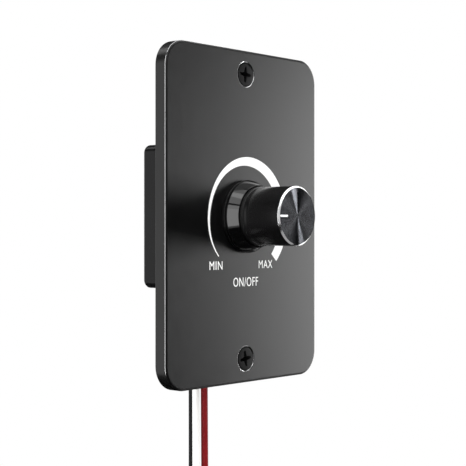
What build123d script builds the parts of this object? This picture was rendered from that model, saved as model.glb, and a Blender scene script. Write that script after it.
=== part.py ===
from build123d import *
import os
from math import cos, radians, sin, tan

# Low voltage dimmer switch, in millimetres.
# The origin is the centre of the face plate's back face, on the wall.
# +X is to the right as seen from the room, +Y goes into the wall, +Z is up.

# Face plate
plate_width = 67.2
plate_height = 97.2
plate_thickness = 4.1
plate_corner_radius = 7.25
plate_edge_chamfer = 0.5

# Box screws, on the single-gang spacing
box_screw_spacing = 83.3
box_screw_radius = 1.75
box_screw_neck_radius = 1.5
box_screw_length = 25.4
box_screw_tip = 0.6
screw_head_radius = 3.65
screw_head_rim = 0.2
countersink_radius = 4.1
countersink_angle = 82.0
cross_recess_length = 3.8
cross_recess_width = 0.85
cross_recess_depth = 1.3

# Printed dial arc: the radii of its two edges, at even clock angles from its MIN end to its MAX end
print_thickness = 0.05
arc_min_angle = -134.0
arc_max_angle = 133.2
arc_outer_radii = [16.68, 16.53, 16.66, 17.44, 18.18, 18.85, 19.32]
arc_inner_radii = [16.4, 15.66, 15.11, 14.93, 14.9, 15.35, 16.18]

# Knob
knob_radius = 8.5
knob_reach = 19.3
knob_rear_reach = 3.2
knob_foot_step = 0.2
knob_foot_height = 6.45
knob_foot_taper = 1.05
knob_edge_depth = 0.8
knob_edge_width = 0.55
knob_wall = 1.5
knob_face_wall = 2.6
pointer_length = 3.5
pointer_width = 0.65
pointer_edge = 0.1
pointer_groove_depth = 0.3
pointer_paint_depth = 0.25
push_travel = 1.5

# Trim collar: wall thicknesses at the rim, the cone's foot and the flange, and the heights of each
collar_floor = 1.2
collar_rim_wall = 0.33
collar_cone_wall = 1.5
collar_flange_wall = 1.83
collar_flange_height = 1.0
collar_flange_round = 0.3
collar_cone_start = 1.65
collar_height = 5.1

# Control shaft and bushing
shaft_radius = 3.0
shaft_reach = 15.0
shaft_flat = 1.5
rear_shaft_radius = 2.0
rear_shaft_flat = 1.2
bushing_radius = 3.5
bushing_flange_radius = 8.3
bushing_flange_thickness = 1.2
bushing_end = 0.8
washer_radius = 6.0
washer_thickness = 0.5
nut_across_flats = 10.0
nut_thickness = 2.0

# Knob insert
insert_hub_radius = 4.7
insert_web_thickness = 1.4
insert_rib_width = 1.2
insert_rib_count = 6
insert_gap = 0.5

# Control, behind the plate
cover_wall = 0.5
wafer_thickness = 1.0
wafer_tongue_width = 13.4
wafer_tongue_drop = 2.8
wiper_room = 1.0
wiper_thickness = 0.2
wiper_contact_radius = 0.45
wiper_reach = 5.8
wiper_ring_radius = 4.7
rotor_radius = 6.8
rotor_thickness = 2.2
rotor_boss_radius = 3.2
rotor_boss_height = 0.45
terminal_width = 1.0
terminal_thickness = 0.4
terminal_pitch = 5.0
terminal_drop = 1.2

# Push switch
switch_size = 13.0
switch_depth = 4.5
switch_wall = 0.6
switch_cavity = 10.6
switch_hole_clearance = 0.3
plunger_radius = 3.0
plunger_thickness = 0.7
plunger_guide_radius = 1.4
plunger_guide_length = 0.6
spring_radius = 2.15
spring_wire = 0.34
spring_turns = 3.0
contact_thickness = 0.3
contact_width = 2.0

# Circuit board
board_side_gap = 0.8
board_foot_margin = 0.5
board_thickness = 1.6
board_gap = 0.5
board_boss_gap = 0.4
pin_tail = 0.6
board_screw_inset = 3.0
board_screw_radius = 0.95
board_screw_length = 3.0
board_screw_head_radius = 1.9
board_screw_head_height = 1.2

# Components on the board: set in from its nearest side and upper or lower edge, then width, height, rise
transistor_inset = (5.8, 9.3)
transistor_size = (6.5, 6.1, 2.3)
transistor_bevel = 0.3
transistor_tab = (5.2, 1.2)
transistor_leg = (0.7, 2.4)
transistor_leg_pitch = 2.2
transistor_lead_thickness = 0.6
capacitor_inset = (5.8, 9.1)
capacitor_radius = 3.15
capacitor_height = 7.7
capacitor_groove = 1.3
capacitor_groove_width = 0.6
capacitor_groove_depth = 0.25
diode_inset = (5.2, 8.0)
diode_size = (2.6, 4.3, 2.2)
chip_inset = (5.8, 8.4)
chip_size = (3.9, 4.9, 1.5)
chip_bevel = 0.2
chip_leg_span = 5.9
chip_leg_width = 0.4
chip_leg_pitch = 1.25
chip_leg_thickness = 0.3
resistor_inset = 3.9
resistor_pitch = 3.2
resistor_count = 4
resistor_size = (1.6, 3.2, 0.6)

# Back housing
housing_width = 44.0
housing_height = 41.6
housing_depth = 16.55
housing_wall = 1.8
housing_corner_radius = 2.4
housing_back_fillet = 1.0
boss_radius = 2.9
boss_sink = 0.3
housing_screw_radius = 1.25
housing_screw_head_radius = 2.0
housing_screw_head_height = 1.5
housing_screw_sink = 0.1
housing_screw_bite = 2.6
tapped_depth = 2.9
post_radius = 2.3

# Wires: each route runs from its post, straight down out of the grommet, and curves slightly below
wire_radius = 1.05
wire_core_radius = 0.6
wire_strip_length = 10.0
wire_post_width = 1.8
wire_post_cap = 1.0
red_route = [(-6.25, 7.0, -15.5), (-6.25, 7.0, -71.5), (-3.6, 8.6, -128.4), (0.6, 10.6, -172.0)]
white_route = [(-9.85, 7.0, -12.5), (-9.85, 7.0, -69.5), (-10.6, 6.2, -127.0), (-12.4, 4.9, -172.0)]
black_route = [(-8.8, 9.4, -15.5), (-8.8, 9.4, -71.5), (-6.9, 11.8, -128.3), (-4.1, 15.3, -171.8)]

# Grommet in the housing's lower wall
grommet_length = 9.4
grommet_width = 6.0
grommet_lip = 0.6
grommet_lip_thickness = 0.8
grommet_centre = (-8.2, 8.1)

# Fits
running_clearance = 0.05
seat_clearance = 0.05
hole_clearance = 0.1
screw_clearance = 0.2
knob_clearance = 0.15

# Planes: FRONT faces the room, with its height measured out from the wall.
# TURNED holds profiles that turn about the knob's axis, as radius and height.
FRONT = Plane(origin=(0, 0, 0), x_dir=(1, 0, 0), z_dir=(0, -1, 0))
TURNED = Plane(origin=(0, 0, 0), x_dir=(1, 0, 0), z_dir=(0, 0, -1))
KNOB_AXIS = Axis.Y

# Heights in front of the wall, worked out from the sizes above
plate_front = plate_thickness
collar_floor_top = plate_front + collar_floor
washer_top = collar_floor_top + washer_thickness
nut_top = washer_top + nut_thickness
bushing_top = nut_top + bushing_end
knob_front = plate_front + knob_reach
knob_rear = plate_front + knob_rear_reach
knob_cavity_top = knob_front - knob_face_wall
knob_cavity_radius = knob_radius - knob_wall
knob_face_radius = knob_radius - knob_edge_width
insert_rear = bushing_top + push_travel + insert_gap
insert_front = knob_cavity_top - seat_clearance
insert_radius = knob_cavity_radius - seat_clearance
shaft_front = plate_front + shaft_reach
knob_foot_radius = knob_radius + knob_foot_step
knob_foot_front = plate_front + knob_foot_height
collar_bore_radius = knob_foot_radius + knob_clearance
collar_rim_radius = collar_bore_radius + collar_rim_wall
collar_cone_radius = collar_bore_radius + collar_cone_wall
collar_flange_radius = collar_bore_radius + collar_flange_wall
collar_rim = plate_front + collar_height

# Heights behind the wall, as negative values
wafer_front = -bushing_flange_thickness
wafer_rear = wafer_front - wafer_thickness
rotor_front = wafer_rear - wiper_room
rotor_rear = rotor_front - rotor_thickness
cover_floor = rotor_rear - rotor_boss_height - running_clearance
cover_rear = cover_floor - cover_wall
switch_front = cover_rear
switch_rear = switch_front - switch_depth
shaft_shoulder = wafer_front
plunger_front = switch_front - switch_wall - running_clearance
shaft_rear = plunger_front + running_clearance
plunger_rear = plunger_front - plunger_thickness
spring_floor = switch_rear + switch_wall
board_front = switch_rear - board_gap
board_rear = board_front - board_thickness
housing_floor = -(housing_depth - housing_wall)
pin_end = board_rear - pin_tail

# Radii of holes and walls that follow the pieces in them
bushing_bore_radius = shaft_radius + running_clearance
bushing_hole_radius = bushing_radius + hole_clearance
cover_inner_radius = bushing_flange_radius + seat_clearance
cover_outer_radius = cover_inner_radius + cover_wall
wafer_radius = cover_inner_radius - hole_clearance
wafer_tongue_end = -(cover_outer_radius + wafer_tongue_drop)
rear_bore_radius = rear_shaft_radius + running_clearance
switch_hole_radius = rear_shaft_radius + switch_hole_clearance
terminal_leg = wafer_tongue_end - terminal_drop
terminal_top = -(cover_outer_radius + terminal_thickness)
contact_place = switch_cavity / 2 - contact_thickness
half_countersink = radians(countersink_angle / 2)
screw_hole_radius = box_screw_radius + screw_clearance

# Places that more than one piece uses
box_screw_places = [(0, box_screw_spacing / 2), (0, -box_screw_spacing / 2)]
boss_x = housing_width / 2 - housing_wall - boss_radius + boss_sink
boss_z = housing_height / 2 - housing_wall - boss_radius + boss_sink
terminal_places = [(-terminal_pitch, terminal_leg), (0, terminal_leg), (terminal_pitch, terminal_leg)]
contact_places = [(-contact_place, 0), (contact_place, 0)]
wire_routes = {"red": red_route, "white": white_route, "black": black_route}
wire_starts = [route[0] for route in wire_routes.values()]
post_places = [(x, y, z + wire_post_width / 2) for x, y, z in wire_starts]
wall_bottom = -housing_height / 2
wall_inside = wall_bottom + housing_wall
board_side = housing_width / 2 - housing_wall - board_side_gap
board_top = housing_height / 2 - housing_wall - board_side_gap
board_bottom = min(z for x, y, z in wire_starts) - board_foot_margin
board_screw_place = board_side - board_screw_inset
board_screw_places = [(-board_screw_place, 0), (board_screw_place, 0)]
transistor_place = (transistor_inset[0] - board_side, board_top - transistor_inset[1])
capacitor_place = (board_side - capacitor_inset[0], board_top - capacitor_inset[1])
diode_place = (diode_inset[0] - board_side, board_bottom + diode_inset[1])
chip_place = (board_side - chip_inset[0], board_bottom + chip_inset[1])
resistor_place = (0, board_top - resistor_inset)


def turned_axis(height):
    """The axis of a screw at that height on the plate's centre line."""
    return Axis((0, 0, height), (0, 1, 0))


def turned_plane(x, z):
    """A profile plane like TURNED, on the axis at that place."""
    return Plane(origin=(x, 0, z), x_dir=(1, 0, 0), z_dir=(0, 0, -1))


def d_section(radius, flat):
    """A round section with one flat, for a shaft or its bore."""
    Circle(radius)
    with Locations((0, flat + radius)):
        Rectangle(4 * radius, 2 * radius, mode=Mode.SUBTRACT)


def dial_point(angle, reach):
    """A point on the plate, by the clock angle from twelve."""
    return (reach * sin(radians(angle)), reach * cos(radians(angle)))


def arc_edge(radii):
    """One edge of the dial arc, a smooth line through its radii at even clock angles."""
    step = (arc_max_angle - arc_min_angle) / (len(radii) - 1)
    return Spline(*[dial_point(arc_min_angle + place * step, radius) for place, radius in enumerate(radii)])


# Face plate: bevelled front rim, countersunk box screw holes, tapped holes behind
with BuildPart() as face_plate:
    with BuildSketch(FRONT):
        RectangleRounded(plate_width, plate_height, plate_corner_radius)
    extrude(amount=plate_thickness)
    front_rim = face_plate.faces().sort_by(Axis.Y)[0].outer_wire().edges()
    chamfer(front_rim, plate_edge_chamfer)
    with BuildSketch(FRONT):
        Circle(bushing_hole_radius)
    extrude(amount=plate_thickness, mode=Mode.SUBTRACT)
    with Locations(FRONT.offset(plate_thickness)):
        with Locations(*box_screw_places):
            CounterSinkHole(screw_hole_radius, countersink_radius, counter_sink_angle=countersink_angle)
    with BuildSketch(FRONT):
        with GridLocations(2 * boss_x, 2 * boss_z, 2, 2):
            Circle(housing_screw_radius + seat_clearance)
    extrude(amount=tapped_depth, mode=Mode.SUBTRACT)
face_plate.part.label = "face_plate"

# Box screws: flat heads in the countersinks, a plain neck in the plate, the thread behind the wall plane
head_sink = (countersink_radius - screw_head_radius) / tan(half_countersink)
head_top = plate_front - head_sink + seat_clearance + screw_head_rim
head_shoulder = head_top - screw_head_rim
head_cone = (screw_head_radius - box_screw_neck_radius) / tan(half_countersink)
screw_end = plate_front - box_screw_length
with BuildPart() as plate_screws:
    for screw_x, screw_z in box_screw_places:
        with BuildSketch(turned_plane(screw_x, screw_z)):
            with BuildLine():
                Polyline(
                    (0, screw_end),
                    (box_screw_radius - box_screw_tip, screw_end),
                    (box_screw_radius, screw_end + box_screw_tip),
                    (box_screw_radius, 0),
                    (box_screw_neck_radius, 0),
                    (box_screw_neck_radius, head_shoulder - head_cone),
                    (screw_head_radius, head_shoulder),
                    (screw_head_radius, head_top),
                    (0, head_top),
                    close=True,
                )
            make_face()
        revolve(axis=turned_axis(screw_z))
    with BuildSketch(FRONT.offset(head_top)):
        with Locations(*box_screw_places):
            Rectangle(cross_recess_length, cross_recess_width)
            Rectangle(cross_recess_width, cross_recess_length)
    extrude(amount=-cross_recess_depth, mode=Mode.SUBTRACT)
plate_screws.part.label = "plate_screws"

# Dial arc: widens from its MIN end to its MAX end, open below
with BuildPart() as dial_arc:
    with BuildSketch(FRONT.offset(plate_front)):
        with BuildLine():
            outer_edge = arc_edge(arc_outer_radii)
            inner_edge = arc_edge(arc_inner_radii)
            Line(outer_edge @ 0, inner_edge @ 0)
            Line(outer_edge @ 1, inner_edge @ 1)
        make_face()
    extrude(amount=print_thickness)
dial_arc.part.label = "dial_arc"

# Trim collar: flange on the plate, then a cone that narrows to a thin rim round the knob's foot
with BuildPart() as trim_collar:
    with BuildSketch(TURNED):
        with BuildLine():
            Polyline(
                (bushing_hole_radius, plate_front),
                (collar_flange_radius, plate_front),
                (collar_flange_radius, plate_front + collar_flange_height),
                (collar_cone_radius, plate_front + collar_flange_height),
                (collar_cone_radius, plate_front + collar_cone_start),
                (collar_rim_radius, collar_rim),
                (collar_bore_radius, collar_rim),
                (collar_bore_radius, collar_floor_top),
                (bushing_hole_radius, collar_floor_top),
                close=True,
            )
        make_face()
    revolve(axis=KNOB_AXIS)
    rim_circles = trim_collar.edges().filter_by(GeomType.CIRCLE)
    flange_rim = rim_circles.filter_by(lambda edge: abs(edge.radius - collar_flange_radius) < 0.01)
    fillet(flange_rim.sort_by(Axis.Y)[0], collar_flange_round)
trim_collar.part.label = "trim_collar"

# Knob: turned cup with a slightly wider foot, a cut front edge and a groove for the pointer
pointer_middle = -(knob_face_radius - pointer_edge - pointer_length / 2)
with BuildPart() as knob:
    with BuildSketch(TURNED):
        with BuildLine():
            Polyline(
                (knob_cavity_radius, knob_rear),
                (knob_foot_radius, knob_rear),
                (knob_foot_radius, knob_foot_front),
                (knob_radius, knob_foot_front + knob_foot_taper),
                (knob_radius, knob_front - knob_edge_depth),
                (knob_face_radius, knob_front),
                (0, knob_front),
                (0, knob_cavity_top),
                (knob_cavity_radius, knob_cavity_top),
                close=True,
            )
        make_face()
    revolve(axis=KNOB_AXIS)
    with BuildSketch(FRONT.offset(knob_front)):
        with Locations((pointer_middle, 0)):
            SlotOverall(pointer_length, pointer_width)
    extrude(amount=-pointer_groove_depth, mode=Mode.SUBTRACT)
knob.part.label = "knob"

# Pointer line: paint that fills most of the groove
with BuildPart() as pointer_line:
    with BuildSketch(FRONT.offset(knob_front - pointer_groove_depth)):
        with Locations((pointer_middle, 0)):
            SlotOverall(pointer_length - seat_clearance, pointer_width - seat_clearance)
    extrude(amount=pointer_paint_depth)
pointer_line.part.label = "pointer_line"

# Knob insert: hub with a D bore, ribs out to the knob's wall and a web in front
insert_depth = insert_front - insert_rear
with BuildPart() as knob_insert:
    with BuildSketch(FRONT.offset(insert_rear)):
        Circle(insert_hub_radius)
        with PolarLocations(insert_radius / 2, insert_rib_count):
            Rectangle(insert_radius, insert_rib_width)
        Circle(insert_radius, mode=Mode.INTERSECT)
    extrude(amount=insert_depth)
    with BuildSketch(FRONT.offset(insert_front)):
        Circle(insert_radius)
    extrude(amount=-insert_web_thickness)
    with BuildSketch(FRONT.offset(insert_rear)):
        d_section(shaft_radius + running_clearance, shaft_flat + running_clearance)
    extrude(amount=shaft_front + running_clearance - insert_rear, mode=Mode.SUBTRACT)
knob_insert.part.label = "knob_insert"

# Control shaft: D end for the knob, round in the bushing, thinner D end through the rotor
with BuildPart() as control_shaft:
    with BuildSketch(FRONT.offset(insert_rear)):
        d_section(shaft_radius, shaft_flat)
    extrude(amount=shaft_front - insert_rear)
    with BuildSketch(FRONT.offset(shaft_shoulder)):
        Circle(shaft_radius)
    extrude(amount=insert_rear - shaft_shoulder)
    with BuildSketch(FRONT.offset(shaft_rear)):
        d_section(rear_shaft_radius, rear_shaft_flat)
    extrude(amount=shaft_shoulder - shaft_rear)
control_shaft.part.label = "control_shaft"

# Bushing: die-cast front of the control, with the neck that passes through the plate
with BuildPart() as bushing:
    with BuildSketch(FRONT.offset(-bushing_flange_thickness)):
        Circle(bushing_flange_radius)
    extrude(amount=bushing_flange_thickness)
    with BuildSketch(FRONT):
        Circle(bushing_radius)
    extrude(amount=bushing_top)
    with BuildSketch(FRONT.offset(-bushing_flange_thickness)):
        Circle(bushing_bore_radius)
    extrude(amount=bushing_flange_thickness + bushing_top, mode=Mode.SUBTRACT)
bushing.part.label = "bushing"

# Washer and nut: clamp the collar's floor and the plate against the bushing
with BuildPart() as bushing_washer:
    with BuildSketch(FRONT.offset(collar_floor_top)):
        Circle(washer_radius)
        Circle(bushing_hole_radius, mode=Mode.SUBTRACT)
    extrude(amount=washer_thickness)
bushing_washer.part.label = "bushing_washer"

with BuildPart() as bushing_nut:
    with BuildSketch(FRONT.offset(washer_top)):
        RegularPolygon(nut_across_flats / 2, 6, major_radius=False)
        Circle(bushing_radius + seat_clearance, mode=Mode.SUBTRACT)
    extrude(amount=nut_thickness)
bushing_nut.part.label = "bushing_nut"

# Pot cover: stamped cup round the control, notched below for the wafer's tongue
with BuildPart() as pot_cover:
    with BuildSketch(FRONT.offset(cover_rear)):
        Circle(cover_outer_radius)
    extrude(amount=-cover_rear)
    with BuildSketch(FRONT.offset(cover_floor)):
        Circle(cover_inner_radius)
    extrude(amount=-cover_floor, mode=Mode.SUBTRACT)
    with BuildSketch(FRONT.offset(cover_rear)):
        Circle(switch_hole_radius)
    extrude(amount=cover_wall, mode=Mode.SUBTRACT)
    with BuildSketch(FRONT.offset(rotor_front)):
        with Locations((0, -cover_outer_radius)):
            Rectangle(wafer_tongue_width + 2 * hole_clearance, cover_outer_radius)
    extrude(amount=-rotor_front, mode=Mode.SUBTRACT)
pot_cover.part.label = "pot_cover"

# Track wafer: disc with a tongue that carries the terminals
tongue_top = -wafer_radius / 2
tongue_height = tongue_top - wafer_tongue_end
with BuildPart() as track_wafer:
    with BuildSketch(FRONT.offset(wafer_rear)):
        Circle(wafer_radius)
        with Locations((0, wafer_tongue_end + tongue_height / 2)):
            Rectangle(wafer_tongue_width, tongue_height)
        Circle(shaft_radius + hole_clearance, mode=Mode.SUBTRACT)
    extrude(amount=wafer_thickness)
track_wafer.part.label = "track_wafer"

# Terminals: flat on the tongue's rear, then bent back through the board
tab_height = terminal_top - terminal_leg
with BuildPart() as pot_terminals:
    with BuildSketch(FRONT.offset(wafer_rear - terminal_thickness)):
        for terminal_x, leg_z in terminal_places:
            with Locations((terminal_x, leg_z + tab_height / 2)):
                Rectangle(terminal_width, tab_height + terminal_thickness)
    extrude(amount=terminal_thickness)
    with BuildSketch(FRONT.offset(pin_end)):
        with Locations(*terminal_places):
            Rectangle(terminal_width, terminal_thickness)
    extrude(amount=wafer_rear - pin_end)
pot_terminals.part.label = "pot_terminals"

# Rotor: disc turned by the shaft's rear flat, on a low boss
with BuildPart() as pot_rotor:
    with BuildSketch(FRONT.offset(rotor_rear)):
        Circle(rotor_radius)
    extrude(amount=rotor_thickness)
    with BuildSketch(FRONT.offset(rotor_rear - rotor_boss_height)):
        Circle(rotor_boss_radius)
    extrude(amount=rotor_boss_height)
    with BuildSketch(FRONT.offset(rotor_rear - rotor_boss_height)):
        d_section(rear_bore_radius, rear_shaft_flat + running_clearance)
    extrude(amount=rotor_thickness + rotor_boss_height, mode=Mode.SUBTRACT)
pot_rotor.part.label = "pot_rotor"

# Wiper: ring on the rotor with two arms, each with a contact that meets the track
with BuildPart() as wiper:
    with BuildSketch(FRONT.offset(rotor_front)):
        Circle(wiper_ring_radius)
        Rectangle(2 * (wiper_reach + wiper_contact_radius), 2 * wiper_contact_radius)
        Circle(shaft_radius + hole_clearance, mode=Mode.SUBTRACT)
    extrude(amount=wiper_thickness)
    with BuildSketch(FRONT.offset(rotor_front + wiper_thickness)):
        with Locations((-wiper_reach, 0), (wiper_reach, 0)):
            Circle(wiper_contact_radius)
    extrude(amount=wiper_room - wiper_thickness - running_clearance)
wiper.part.label = "wiper"

# Switch body: closed box with the shaft's hole in front and slots for the contacts behind
with BuildPart() as switch_body:
    with BuildSketch(FRONT.offset(switch_rear)):
        Rectangle(switch_size, switch_size)
    extrude(amount=switch_depth)
    with BuildSketch(FRONT.offset(spring_floor)):
        Rectangle(switch_cavity, switch_cavity)
    extrude(amount=switch_depth - 2 * switch_wall, mode=Mode.SUBTRACT)
    with BuildSketch(FRONT.offset(switch_front)):
        Circle(switch_hole_radius)
    extrude(amount=-switch_wall, mode=Mode.SUBTRACT)
    with BuildSketch(FRONT.offset(switch_rear)):
        with Locations(*contact_places):
            Rectangle(contact_thickness + 2 * hole_clearance, contact_width + 2 * hole_clearance)
    extrude(amount=switch_wall, mode=Mode.SUBTRACT)
switch_body.part.label = "switch_body"

# Switch contacts: two blades that run on through the board
contact_top = switch_front - switch_wall - running_clearance
with BuildPart() as switch_contacts:
    with BuildSketch(FRONT.offset(pin_end)):
        with Locations(*contact_places):
            Rectangle(contact_thickness, contact_width)
    extrude(amount=contact_top - pin_end)
switch_contacts.part.label = "switch_contacts"

# Switch plunger: disc pushed by the shaft, with a guide for the spring
with BuildPart() as switch_plunger:
    with BuildSketch(FRONT.offset(plunger_rear)):
        Circle(plunger_radius)
    extrude(amount=plunger_thickness)
    with BuildSketch(FRONT.offset(plunger_rear)):
        Circle(plunger_guide_radius)
    extrude(amount=-plunger_guide_length)
switch_plunger.part.label = "switch_plunger"

# Switch spring: from the cavity's floor to the plunger
spring_room = plunger_rear - spring_floor
spring_rise = spring_room - spring_wire - 2 * running_clearance
spring_base = FRONT.offset(spring_floor + running_clearance + spring_wire / 2)
with BuildPart() as switch_spring:
    with BuildLine() as coil:
        Helix(
            pitch=spring_rise / spring_turns,
            height=spring_rise,
            radius=spring_radius,
            center=spring_base.origin,
            direction=spring_base.z_dir,
        )
    coil_start = coil.line @ 0
    wire_end = Plane(coil_start, x_dir=coil_start - spring_base.origin, z_dir=coil.line % 0)
    with BuildSketch(wire_end):
        Rectangle(spring_wire, spring_wire)
    sweep()
switch_spring.part.label = "switch_spring"

# Circuit board: notched round the bosses, drilled for pins and screws
board_height = board_top - board_bottom
board_middle = (board_top + board_bottom) / 2
with BuildPart() as circuit_board:
    with BuildSketch(FRONT.offset(board_rear)):
        with Locations((0, board_middle)):
            Rectangle(2 * board_side, board_height)
        with GridLocations(2 * boss_x, 2 * boss_z, 2, 2):
            Circle(boss_radius + board_boss_gap, mode=Mode.SUBTRACT)
        with Locations(*terminal_places):
            Rectangle(
                terminal_width + 2 * hole_clearance,
                terminal_thickness + 2 * hole_clearance,
                mode=Mode.SUBTRACT,
            )
        with Locations(*contact_places):
            Rectangle(
                contact_thickness + 2 * hole_clearance,
                contact_width + 2 * hole_clearance,
                mode=Mode.SUBTRACT,
            )
        with Locations(*board_screw_places):
            Circle(board_screw_radius + hole_clearance, mode=Mode.SUBTRACT)
        for post_x, wire_y, post_z in post_places:
            with Locations((post_x, post_z)):
                Rectangle(
                    wire_post_width / 2 + 2 * hole_clearance,
                    wire_post_width / 2 + 2 * hole_clearance,
                    mode=Mode.SUBTRACT,
                )
    extrude(amount=board_thickness)
circuit_board.part.label = "circuit_board"

# Board screws: round heads on the board, into the housing's posts
with BuildPart() as board_screws:
    with BuildSketch(FRONT.offset(board_front)):
        with Locations(*board_screw_places):
            Circle(board_screw_head_radius)
    extrude(amount=board_screw_head_height)
    with BuildSketch(FRONT.offset(board_front)):
        with Locations(*board_screw_places):
            Circle(board_screw_radius)
    extrude(amount=-board_screw_length)
board_screws.part.label = "board_screws"

# Power transistor: flat case with its tab above and three legs below
transistor_width, transistor_height, transistor_rise = transistor_size
tab_width, tab_reach = transistor_tab
leg_width, leg_reach = transistor_leg
with BuildPart() as power_transistor:
    with BuildSketch(FRONT.offset(board_front)):
        with Locations(transistor_place):
            Rectangle(transistor_width, transistor_height)
    extrude(amount=transistor_rise)
    chamfer(power_transistor.faces().sort_by(Axis.Y)[0].edges(), transistor_bevel)
    with BuildSketch(FRONT.offset(board_front)):
        with Locations(transistor_place):
            with Locations((0, transistor_height / 2)):
                Rectangle(tab_width, 2 * tab_reach)
            with Locations((0, -transistor_height / 2)):
                with GridLocations(transistor_leg_pitch, 0, 3, 1):
                    Rectangle(leg_width, 2 * leg_reach)
    extrude(amount=transistor_lead_thickness)
power_transistor.part.label = "power_transistor"

# Capacitor: upright can with a rolled groove near its foot
groove_low = board_front + capacitor_groove
groove_high = groove_low + capacitor_groove_width
groove_radius = capacitor_radius - capacitor_groove_depth
capacitor_x, capacitor_z = capacitor_place
with BuildPart() as capacitor:
    with BuildSketch(turned_plane(capacitor_x, capacitor_z)):
        with BuildLine():
            Polyline(
                (0, board_front),
                (capacitor_radius, board_front),
                (capacitor_radius, groove_low),
                (groove_radius, (groove_low + groove_high) / 2),
                (capacitor_radius, groove_high),
                (capacitor_radius, board_front + capacitor_height),
                (0, board_front + capacitor_height),
                close=True,
            )
        make_face()
    revolve(axis=Axis((capacitor_x, 0, capacitor_z), (0, 1, 0)))
capacitor.part.label = "capacitor"


def chip_block(place, size):
    """A moulded chip body on the board, with its front edges bevelled."""
    width, height, rise = size
    with BuildPart() as block:
        with BuildSketch(FRONT.offset(board_front)):
            with Locations(place):
                Rectangle(width, height)
        extrude(amount=rise)
        chamfer(block.faces().sort_by(Axis.Y)[0].edges(), chip_bevel)
    return block


diode = chip_block(diode_place, diode_size)
diode.part.label = "diode"

# Control chip: moulded body with four legs on each side
with BuildPart() as control_chip:
    add(chip_block(chip_place, chip_size).part)
    with BuildSketch(FRONT.offset(board_front)):
        with Locations(chip_place):
            with GridLocations(0, chip_leg_pitch, 1, 4):
                Rectangle(chip_leg_span, chip_leg_width)
    extrude(amount=chip_leg_thickness)
control_chip.part.label = "control_chip"

# Chip resistors: a row of small blocks
with BuildPart() as chip_resistors:
    with BuildSketch(FRONT.offset(board_front)):
        with Locations(resistor_place):
            with GridLocations(resistor_pitch, 0, resistor_count, 1):
                Rectangle(resistor_size[0], resistor_size[1])
    extrude(amount=resistor_size[2])
chip_resistors.part.label = "chip_resistors"

# Wire posts: each stands on the board and meets the end of its wire
with BuildPart() as wire_posts:
    for post_x, wire_y, post_z in post_places:
        with BuildSketch(FRONT.offset(board_front)):
            with Locations((post_x, post_z)):
                Rectangle(wire_post_width, wire_post_width)
        extrude(amount=wire_post_cap - wire_y - board_front)
        with BuildSketch(FRONT.offset(board_front)):
            with Locations((post_x, post_z)):
                Rectangle(wire_post_width / 2, wire_post_width / 2)
        extrude(amount=pin_end - board_front)
wire_posts.part.label = "wire_posts"

# Back housing: moulded shell with corner bosses, board posts and a lead-through below
with BuildPart() as back_housing:
    with BuildSketch(FRONT):
        RectangleRounded(housing_width, housing_height, housing_corner_radius)
    extrude(amount=-housing_depth)
    back_rim = back_housing.faces().sort_by(Axis.Y)[-1].outer_wire().edges()
    fillet(back_rim, housing_back_fillet)
    with BuildSketch(FRONT):
        RectangleRounded(
            housing_width - 2 * housing_wall,
            housing_height - 2 * housing_wall,
            housing_corner_radius - housing_wall,
        )
    extrude(amount=housing_floor, mode=Mode.SUBTRACT)
    with BuildSketch(FRONT):
        with GridLocations(2 * boss_x, 2 * boss_z, 2, 2):
            Circle(boss_radius)
    extrude(amount=housing_floor)
    with BuildSketch(FRONT.offset(board_rear)):
        with Locations(*board_screw_places):
            Circle(post_radius)
    extrude(amount=housing_floor - board_rear)
    with BuildSketch(FRONT.offset(board_rear)):
        with Locations(*board_screw_places):
            Circle(board_screw_radius + seat_clearance)
    extrude(amount=board_thickness - board_screw_length, mode=Mode.SUBTRACT)
    with Locations(FRONT.offset(-housing_depth).rotated((180, 0, 0))):
        with GridLocations(2 * boss_x, 2 * boss_z, 2, 2):
            CounterBoreHole(
                housing_screw_radius + hole_clearance,
                housing_screw_head_radius + hole_clearance,
                housing_screw_head_height + housing_screw_sink,
            )
    with BuildSketch(Plane.XY.offset(wall_bottom)):
        with Locations(grommet_centre):
            SlotOverall(grommet_length, grommet_width)
    extrude(amount=housing_wall, mode=Mode.SUBTRACT)
back_housing.part.label = "back_housing"

# Housing screws: from the rear, through the bosses, into the plate
head_seat = -(housing_depth - housing_screw_head_height - housing_screw_sink)
with BuildPart() as housing_screws:
    with BuildSketch(FRONT.offset(head_seat)):
        with GridLocations(2 * boss_x, 2 * boss_z, 2, 2):
            Circle(housing_screw_head_radius)
    extrude(amount=-housing_screw_head_height)
    with BuildSketch(FRONT.offset(head_seat)):
        with GridLocations(2 * boss_x, 2 * boss_z, 2, 2):
            Circle(housing_screw_radius)
    extrude(amount=housing_screw_bite - head_seat)
    with BuildSketch(FRONT.offset(head_seat - housing_screw_head_height)):
        with GridLocations(2 * boss_x, 2 * boss_z, 2, 2):
            Rectangle(2 * housing_screw_radius, housing_screw_radius / 2)
            Rectangle(housing_screw_radius / 2, 2 * housing_screw_radius)
    extrude(amount=housing_screw_head_height / 2, mode=Mode.SUBTRACT)
housing_screws.part.label = "housing_screws"

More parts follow.
